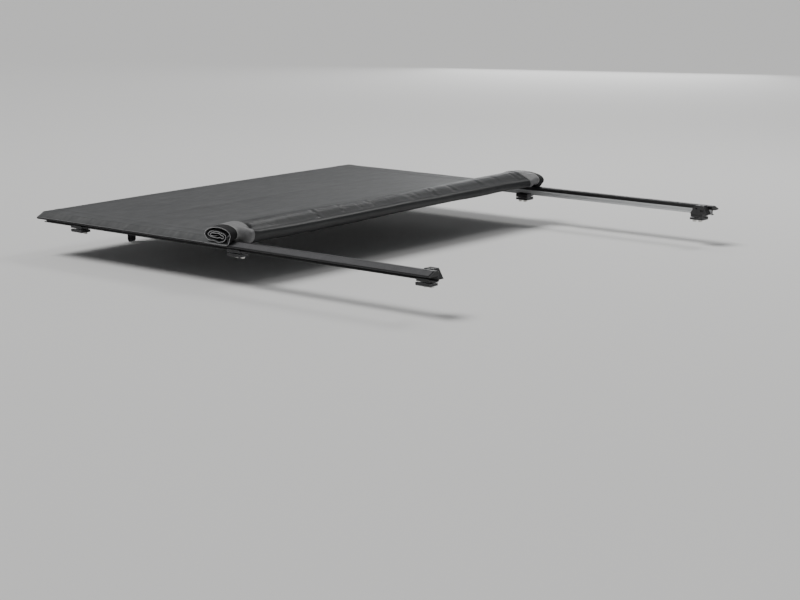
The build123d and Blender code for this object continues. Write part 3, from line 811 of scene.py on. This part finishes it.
def payout(name, profile, above, below, materials):
    """A strip of the gathered sheet."""
    x, y, z = spread(profile, gathered_y)
    far = np.repeat(laid_y[None, :], len(profile), 0)
    flat, dome = flat_and_dome(x)
    rise = LIFT * flat + CROWN * dome * 0.9 + BOW_RIDGE * bell(far, -430, 26) * dome ** 0.5
    rise = rise - 0.8 * dome ** 0.7 * (arch(far, -60, -370) + arch(far, -430, -400))
    rise = rise + 0.28 * flat * SHEET_WAVES(x, far)
    # carry on from the rear edge of the flat sheet
    share = fade_in(far, TUCK_Y, -60)
    z = z + sheet_rise(x, np.full_like(x, TUCK_Y)) * (1 - share) + rise * share
    strip = draped(name, np.stack([x, y, z + PAYOUT_LIFT * travel], -1),
                   np.stack([x, far, z], -1), above, below, materials)
    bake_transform(strip)


payout("cover_sheet_payout", section(PAYOUT_STEP)[::-1], HALF, HALF, FABRIC)
for tag, side in SIDES:
    for kind, x_in, x_out, count, material, slot in MARGINS:
        payout(kind + "_payout_" + tag, margin_section(x_in, x_out, count, side),
               BAND_TOP, BAND_LOW, [material, material, EDGE])

# ----------------------------------------------------------------- the roll
# Y, Z along the coiled sheet from its outer end inwards, at mid-width
MID = [
    (53, 17.8), (46, 10.5), (34, 5.2), (10, 3.2), (-22, 2.6), (-50, 3.0), (-67, 5.6), (-79, 13.0),
    (-85.5, 24), (-87.4, 33), (-85.6, 40.6), (-79.5, 46.8), (-65, 53.6), (-45, 62.6),
    (-25, 68.0), (-6, 68.8), (18, 64.0), (36, 54.5), (45.5, 42.5), (46.5, 32), (39, 25.6),
    (22, 23.9), (-5, 23.6), (-30, 23.6), (-48, 24.8), (-57, 30), (-59.5, 38), (-54, 46.8),
    (-40, 56.0), (-20, 61.6), (0, 62.3), (18, 58.3), (30, 51), (36, 42.5), (33.5, 34),
    (25, 29.6), (10, 28.5), (-15, 28.4), (-34, 28.5), (-44.5, 31), (-48.3, 37), (-44.5, 43),
    (-34, 45), (-10, 45.2), (8, 44.6), (19, 41.8), (22.5, 37.6), (18.5, 34.4), (8, 34.6),
    (-2, 36.7), (-6.4, 37),
]
# the same at the ends, where the roll lies on the rails
END = [
    (51, 21.2), (44, 20.9), (32, 20.8), (10, 20.8), (-22, 20.8), (-48, 20.9), (-64, 22.0),
    (-78, 25.6), (-86.0, 33), (-88.2, 41), (-84.0, 50.0), (-74.5, 56.6), (-60, 61.4),
    (-40, 65.0), (-20, 66.2), (-2, 66.0), (18, 62.6), (36, 55.0), (45.5, 46), (47.8, 38),
    (41.5, 30.6), (24, 26.6), (-5, 25.4), (-30, 25.8), (-48, 27.2), (-57, 31), (-59.5, 36.5),
    (-55, 42.6), (-41, 47.6), (-20, 50.6), (0, 51.2), (18, 49.2), (30, 45.0), (35.5, 40.2),
    (32.5, 35.2), (25, 31.8), (10, 30.2), (-15, 29.9), (-34, 30.6), (-44.0, 32.6),
    (-47.0, 36.4), (-42.5, 40.6), (-33, 42.8), (-10, 44.4), (8, 43.8), (18.5, 41.6),
    (22.0, 38.6), (18.0, 35.8), (8, 35.0), (-2, 36.4), (-6.4, 37.2),
]
COIL_POINTS = 420
mid_line, ARC = resample(MID, count=COIL_POINTS)
end_line, _ = resample(END, count=COIL_POINTS)
ROLL_WAVES = Waves(seed=31, count=18, shortest=120, longest=900)
ROLL_FINE = Waves(seed=32, count=26, shortest=24, longest=140, along_x=1.1, along_y=0.5)
INNER_WAVES = Waves(seed=33, count=14, shortest=26, longest=110)
BUCKLES = Waves(seed=34, count=20, shortest=30, longest=80, along_x=1.15, along_y=0.7)
# X, change of height of the crest, of the rear ridge and of the underside
TOP_Z = [(-845, -2.8), (-811, -0.3), (-780, 1.4), (-735, 1.0), (-620, -0.6), (-470, -1.2),
         (-170, -2.8), (120, -2.0), (364, -0.8), (600, 2.0), (740, 4.2), (785, 6.2),
         (811, 5.4), (845, 2.4)]
RIDGE_Z = [(-845, 0.0), (-776, 0.4), (-606, -2.8), (-384, -2.0), (-11, 2.4), (217, 1.2),
           (500, 1.0), (845, 0.0)]
BOTTOM_Z = [(-845, 0), (-642, 0), (-472, 0.4), (-150, 4.0), (13, 7.0), (250, 11.5),
            (489, 15.5), (620, 16.0), (760, 16.0), (845, 16.0)]
# X, strength of the small buckles
BUSY = [(-845, 0.10), (-480, 0.2), (-300, 0.7), (-60, 0.8), (60, 1.0), (260, 1.0),
        (420, 0.7), (700, 0.45), (845, 0.2)]
# creases round the roll: X, strength, width, slant, and where each starts and ends
# from crest (0) to rear ridge (1)
CREASES = [
    (-420, 2.5, 13.0, 0.20, -0.05, 0.80), (-288, 1.9, 12.0, 0.20, 0.00, 0.66),
    (-190, 1.6, 11.0, 0.24, 0.08, 0.70), (-135, 1.7, 12.0, 0.18, 0.00, 0.64),
    (-42, 0.9, 11.0, 0.12, -0.05, 0.40), (92, 1.7, 14.0, 0.10, 0.25, 0.80),
    (128, 1.1, 11.0, 0.20, 0.05, 0.58), (190, 0.9, 12.0, 0.15, -0.05, 0.44),
    (218, 2.3, 13.0, 0.22, 0.00, 0.78), (332, 1.7, 14.0, 0.18, 0.08, 0.72),
    (494, 1.2, 14.0, 0.12, 0.00, 0.56), (610, 0.8, 14.0, 0.05, 0.10, 0.60),
    (716, 1.9, 10.0, 0.10, -0.05, 0.85), (-560, 0.5, 14.0, 0.1, 0.10, 0.60),
    (-655, 0.4, 14.0, 0.1, 0.2, 0.7),
]


def arc_near(y, z):
    return ARC[np.argmin(np.hypot(mid_line[:, 0] - y, mid_line[:, 1] - z))]


ARC_CREST, ARC_RIDGE = arc_near(-25, 68.0), arc_near(-80, 46.5)
# place round the coil: 0 at the crest, 1 at the rear ridge
SHARE = ((ARC_CREST - ARC) / (ARC_CREST - ARC_RIDGE))[:, None]


def roll_section(xs):
    """Middle of the coiled sheet before creasing: grids of X, Y, Z."""
    out = np.abs(xs)
    end = fade_in(out, 756, 42)[None, :]
    y = mid_line[:, 0][:, None] * (1 - end) + end_line[:, 0][:, None] * end
    z = mid_line[:, 1][:, None] * (1 - end) + end_line[:, 1][:, None] * end
    # the roll is wound a little tighter at its left end and looser at its right
    girth = 1 - 0.28 * fade_in(-xs, 768, 36) + 0.13 * fade_in(xs, 600, 190)
    y = np.where(y < 0, y * girth[None, :], y)
    high = np.clip((z - 3.0) / 66.0, 0, 1)
    low = fade_out(z, 3, 21)
    z = z + lookup(TOP_Z, xs)[None, :] * high
    z = z + lookup(RIDGE_Z, xs)[None, :] * bell(SHARE, 1.0, 0.45)
    z = z + lookup(BOTTOM_Z, xs)[None, :] * low * (1 - end) * fade_in(y, 46, -60)
    # past the rail's crown the ends droop down its slope, the lowest wrap most
    over = np.clip(out - 815, 0, None)[None, :]
    z = z - over * (0.482 - 0.40 * fade_in(z, 20.9, 9))
    return np.repeat(xs[None, :], COIL_POINTS, 0), y, z


def crease_relief(x):
    """Slanted creases: a ridge beside a groove, with a faint second ridge."""
    total = 0.0
    for i, (x_mid, strength, width, slant, start, end) in enumerate(CREASES):
        centre = x_mid - slant * 60.0 * (SHARE - 0.5) + 2.2 * np.sin(SHARE * 4.1 + i * 1.9)
        window = fade_in(SHARE, start - 0.22, 0.34) * fade_out(SHARE, end - 0.08, 0.26)
        window = window * (0.78 + 0.22 * np.sin(SHARE * 9.0 + 2.3 * i))
        u = (x - centre) / (width * (0.8 + 0.35 * SHARE))
        fold = bell(u, 0.60, 0.75) - 1.15 * bell(u, -0.60, 0.85) + 0.25 * bell(u, -2.4, 1.2)
        total = total + 0.72 * strength * fold * window
    return total


def roll_relief(x):
    """Outward displacement of the coiled sheet."""
    arc = ARC[:, None]
    outer = fade_out(arc, 300, 60)      # 1 on the outermost wrap
    relief = 0.55 * ROLL_WAVES(x, arc * 1.6) + 0.16 * ROLL_FINE(x, arc) + crease_relief(x)
    face = bell(SHARE, 0.42, 0.34)
    relief = relief + 0.08 * lookup(BUSY, x) * face * BUCKLES(x, arc * 1.3)
    # puckers where the stiffer margin begins
    for _, side in SIDES:
        window = fade_in(SHARE, -0.5, 0.5) * fade_out(SHARE, 1.3, 0.5)
        relief = relief + 0.9 * bell(x, side * 752, 8) * np.sin(arc / 8.5 + side) * window
    # pinched fold at the left margin, with a slit behind it
    relief = relief + 2.8 * bell(x, -742, 11) * bell(SHARE, 0.50, 0.26)
    relief = relief - 3.2 * bell(x, -760, 13) * bell(SHARE, 0.72, 0.12)
    relief = relief + 1.6 * bell(x, -755, 15) * bell(SHARE, 1.0, 0.14)
    # lengthwise rumples in the right margin
    margin = fade_in(x, 752, 10) * fade_out(x, 815, 20)
    relief = relief + 0.8 * margin * np.sin(arc / 5.2 + x / 37.0) * bell(SHARE, 0.55, 0.55)
    relief = relief * outer
    # the inner wraps lie loosely near the open ends
    loose = fade_in(np.abs(x), 760, 60)
    relief = relief + (1 - outer) * 1.15 * INNER_WAVES(arc, x * 0.6) * loose
    return relief * np.clip(arc / 25.0, 0, 1) * np.clip((ARC[-1] - arc) / 30.0, 0, 1)


def roll_surface(xs):
    """Middle of the coiled sheet as a grid: rows round the coil, columns along X."""
    x, y, z = roll_section(xs)
    step_y, step_z = np.gradient(y, axis=0), np.gradient(z, axis=0)
    length = np.maximum(np.hypot(step_y, step_z), 1e-9)
    out_y, out_z = -step_z / length, step_y / length
    middle = x.shape[1] // 2
    if out_z[np.argmax(z[:200, middle]), middle] < 0:
        out_y, out_z = -out_y, -out_z
    relief = roll_relief(x)
    return np.stack([x, y + out_y * relief, z + out_z * relief], -1)


def ride_roll(piece):
    """Travel with the roll."""
    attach(piece, "cover_roll")
    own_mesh(piece)


ROLL_X = np.concatenate([np.linspace(-845, -730, 46), np.arange(-726, 726, 4.4),
                         np.linspace(730, 845, 46)])
ROLL = roll_surface(ROLL_X)
MIDDLE = len(ROLL_X) // 2
CREST = int(np.argmax(ROLL[:200, MIDDLE, 2]))
INSIDE_OUT = normals(ROLL)[CREST, MIDDLE, 2] < 0    # grid normals point into the roll
coiled = shell("cover_roll_coil", ROLL, HALF, [UNDER, VINYL, EDGE], flip=INSIDE_OUT)
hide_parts("cover_roll")
ride_roll(coiled)

# strips round the coil: name, inner and outer distance from the centre line, points across,
# height of the outer face over the middle of the fabric, materials, slot
STRIP_FOOT = 0.66
STRIPS = (
    ("roll_edge_band_", 757, 811, 22, 1.65, [BAND, BAND, EDGE], "edge_band"),
    ("roll_loop_band_", 812, 844.6, 14, 1.75, [LOOP, LOOP, EDGE], "loop_tape"),
    ("roll_binding_", 810.2, 812.4, 3, 2.0, [THREAD_LIGHT] * 3, "edge_band"),
)


def roll_stitches(name, distance, side):
    """A seam round the outside of the coil."""
    grid = roll_surface(np.array([distance - 1, distance, distance + 1]) * side)
    normal = normals(grid)
    if normal[CREST, 1, 2] < 0:
        normal = -normal
    line = grid[:, 1]
    arc = np.r_[0, np.cumsum(np.linalg.norm(np.diff(line, axis=0), axis=1))]
    at = np.arange(12, min(arc[-1] - 20, 330), STITCH_PITCH)
    centres, up, along = (
        np.stack([np.interp(at, arc, values[:, k]) for k in range(3)], 1)
        for values in (line, normal[:, 1], np.gradient(line, axis=0)))
    ride_roll(stitches(name, centres + up * 1.72, along, up))


for tag, side in SIDES:
    for name, x_in, x_out, count, height, materials, slot in STRIPS:
        grid = roll_surface(np.sort(np.linspace(x_in, x_out, count) * side))[6:-12]
        normal = normals(grid) * (-1 if INSIDE_OUT else 1)
        ride_roll(solid(name + tag, grid, normal, height, -STRIP_FOOT, materials, INSIDE_OUT))
    for row, distance in (("inner", 759.5), ("outer", 841.0)):
        roll_stitches("roll_stitch_%s_%s" % (tag, row), distance, side)

# fabric tongue that holds the rear bar to the end of the sheet
x, z = np.meshgrid(np.linspace(-750, 750, 120), np.linspace(36.6, 47.8, 8), indexing="ij")
tongue = shell("rear_bar_tongue", np.stack([x, -6.2 + 0.25 * np.sin(x / 60.0), z], -1),
               0.6, [UNDER, UNDER, EDGE])
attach(tongue, "cover_roll")

# -------------------------------------------------------------------- straps
STRAP_X = 450.0
STRAP_HALF_WIDTH = 12.5
STRAP_HALF_THICKNESS = 0.7
STRAP_WAVES = Waves(seed=3, count=6, shortest=30, longest=120)
# Y, Z along each strap
UPPER_PATH = [(815.15, 16), (815.15, 2), (815.0, -8), (814.6, -20), (814.6, -37)]
LONG_PATH = [(813.65, 16), (813.65, 5), (812.6, -3), (808.5, -8), (803.5, -14), (800.6, -24),
             (799.6, -50), (799.4, -90), (799.5, -116), (801.2, -121.5), (806.5, -125.2)]
SHORT_PATH = [(806.5, -125.2), (811.6, -122.4), (814.2, -116), (814.6, -108), (814.6, -94)]


def strap(name, path, centre, sway=0.0):
    """Webbing along a path in Y, Z, slightly cupped across its width."""
    line, arc = resample(path, step=2.0)
    xs = np.linspace(centre - STRAP_HALF_WIDTH, centre + STRAP_HALF_WIDTH, 9)
    x, _ = np.meshgrid(xs, arc, indexing="ij")
    step = np.gradient(line, axis=0)
    step /= np.linalg.norm(step, axis=1, keepdims=True)
    cup = 0.25 * ((x - centre) / STRAP_HALF_WIDTH) ** 2 + sway * STRAP_WAVES(arc)
    grid = np.stack([x, line[:, 0] - step[:, 1] * cup, line[:, 1] + step[:, 0] * cup], -1)
    return shell(name, grid, STRAP_HALF_THICKNESS, [WEB, WEB, WEB])


for tag, side in SIDES:
    centre = STRAP_X * side
    upper = strap("strap_upper_" + tag, UPPER_PATH, centre)
    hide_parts("storage_straps")
    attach(upper, "frame")
    hanging = strap("strap_long_" + tag, LONG_PATH, centre, sway=0.25)
    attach(hanging, "frame")
    short = strap("strap_short_" + tag, SHORT_PATH, centre)
    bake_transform(short)

# ---------------------------------------------------------- latch springs
SPRING_X = (706.75, 725.25)     # inner and outer end, from the centre line
SPRING_Y, SPRING_Z = -24.0, 37.0
SPRING_TURNS, SPRING_RADIUS, WIRE_RADIUS = 6.2, 2.2, 0.35
TURN_STEPS, WIRE_SIDES = 20, 8


def spring(name, side):
    """A wire wound round an axis along X, closed at both ends."""
    count = int(SPRING_TURNS * TURN_STEPS)
    share = np.linspace(0, 1, count)
    angle = 2 * math.pi * SPRING_TURNS * share
    out = np.stack([np.zeros(count), np.cos(angle), np.sin(angle)], 1)
    x = side * (SPRING_X[0] + (SPRING_X[1] - SPRING_X[0]) * share)
    axis = np.stack([x, np.full(count, SPRING_Y), np.full(count, SPRING_Z)], 1)
    line = axis + out * SPRING_RADIUS
    along = np.gradient(line, axis=0)
    along /= np.linalg.norm(along, axis=1, keepdims=True)
    across = np.cross(along, out)
    turns = [2 * math.pi * i / WIRE_SIDES for i in range(WIRE_SIDES)]
    verts = np.stack([line + (out * math.cos(turn) + across * math.sin(turn)) * WIRE_RADIUS
                      for turn in turns], 1).reshape(-1, 3)
    faces = tube_faces(0, count, WIRE_SIDES)
    faces.append(tuple(range(WIRE_SIDES - 1, -1, -1)))
    faces.append(tuple((count - 1) * WIRE_SIDES + i for i in range(WIRE_SIDES)))
    piece = make(name, verts, faces, [WIRE])
    mesh = bmesh.new()
    mesh.from_mesh(piece.data)
    bmesh.ops.recalc_face_normals(mesh, faces=mesh.faces)
    mesh.to_mesh(piece.data)
    mesh.free()
    return piece


for tag, side in SIDES:
    coil = spring("latch_coil_" + tag, side)
    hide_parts(tag + "_latch_spring")
    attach(coil, "cover_roll")
    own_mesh(coil)

# --------------------------------------------------------- stage and lighting
FLOOR_HALF, FLOOR_Z = 40000, -127.6


def floor():
    """A large pale matt floor."""
    corners = [(x * FLOOR_HALF, y * FLOOR_HALF, FLOOR_Z)
               for x, y in ((-1, -1), (1, -1), (1, 1), (-1, 1))]
    material = bpy.data.materials.new("stage_floor")
    material.use_nodes = True
    inputs = material.node_tree.nodes["Principled BSDF"].inputs
    inputs["Base Color"].default_value = (0.74, 0.74, 0.735, 1.0)
    inputs["Roughness"].default_value = 0.95
    inputs["Specular IOR Level"].default_value = 0.2
    make("stage_floor", corners, [(0, 1, 2, 3)], [material])


def lamp(name, kind, direction, place=(0, 0, 0), **settings):
    """A light that shines along a direction."""
    light = bpy.data.lights.new(name, kind)
    for key, value in settings.items():
        setattr(light, key, value)
    holder = bpy.data.objects.new(name, light)
    holder.location = place
    holder.rotation_mode = "QUATERNION"
    holder.rotation_quaternion = Vector(direction).to_track_quat("-Z", "Y")
    bpy.context.scene.collection.objects.link(holder)


def area(name, place, target, **settings):
    lamp(name, "AREA", Vector(target) - Vector(place), place, **settings)


WARM, COOL = (1.0, 0.995, 0.985), (0.985, 0.995, 1.0)
floor()
area("ridge_light", (3.2, -0.75, 3.5), (-0.35, -0.08, 0.05), size=1.5, energy=46, color=WARM)
area("crease_light", (2.6, 1.75, 2.9), (-0.5, -0.05, 0.05), size=0.8, energy=11, color=WARM)
area("soft_far", (7.0, 3.6, 1.3), (0, 0.2, 0), size=2.6, energy=50, color=COOL)
lamp("overhead", "SUN", (0.36, -0.34, -0.87), energy=2.5, angle=math.radians(30), color=WARM)


def studio():
    """World light: pale low down, dimmer above and on the camera's side."""
    world = bpy.data.worlds.new("studio")
    bpy.context.scene.world = world
    world.use_nodes = True
    nodes = Nodes(world.node_tree)
    direction = nodes.add("TexCoord", {}).outputs["Generated"]
    height = nodes.add("SeparateXYZ", {0: direction}).outputs["Z"]
    upper = [(position, (grey, grey * 1.01, grey * 1.03))
             for position, grey in ((0.42, 0.34), (0.70, 0.28), (1.0, 0.42))]
    sky = nodes.ramp(height, (0.0, (0.90, 0.91, 0.92)), (0.26, (0.78, 0.79, 0.81)), *upper)
    towards_camera = nodes.add("VectorMath", {0: direction, 1: (-0.55, -0.83, 0.0)},
                               operation="DOT_PRODUCT").outputs["Value"]
    strength = nodes.add("MapRange", {"Value": towards_camera, "From Min": 0.1, "From Max": 0.9,
                                      "To Min": 0.54, "To Max": 0.24}).outputs[0]
    light = world.node_tree.nodes["Background"]
    nodes.feed(light.inputs[0], sky)
    nodes.feed(light.inputs[1], strength)
    # seen straight on, the backdrop is as pale as the floor
    backdrop = nodes.add("Background", {0: (0.90, 0.905, 0.91), 1: 0.72})
    is_camera = nodes.add("LightPath", {}).outputs["Is Camera Ray"]
    both = nodes.add("MixShader", {0: is_camera, 1: light.outputs[0], 2: backdrop.outputs[0]})
    nodes.feed(world.node_tree.nodes["World Output"].inputs["Surface"], both.outputs[0])


studio()

# -------------------------------------------------------------------- camera
YAW, PITCH, TILT = 0.89692, 0.20207, 0.00296    # radians; yaw turns from +Y towards +X
CAMERA_PLACE = (-5.0130, -4.0756, 1.0156)
LENS, SENSOR = 83.6748, 36.0


def camera():
    ahead = Vector((math.sin(YAW) * math.cos(PITCH), math.cos(YAW) * math.cos(PITCH),
                    -math.sin(PITCH)))
    level = Vector((math.cos(YAW), -math.sin(YAW), 0))
    upright = level.cross(ahead)
    right = level * math.cos(TILT) + upright * math.sin(TILT)
    up = upright * math.cos(TILT) - level * math.sin(TILT)
    data = bpy.data.cameras.new("camera")
    data.sensor_width = SENSOR
    data.sensor_fit = "HORIZONTAL"
    data.lens = LENS
    data.clip_start, data.clip_end = 0.05, 200
    holder = bpy.data.objects.new("camera", data)
    bpy.context.scene.collection.objects.link(holder)
    rows = [(right[k], up[k], -ahead[k], CAMERA_PLACE[k]) for k in range(3)]
    holder.matrix_world = Matrix((*rows, (0, 0, 0, 1)))
    bpy.context.scene.camera = holder


camera()
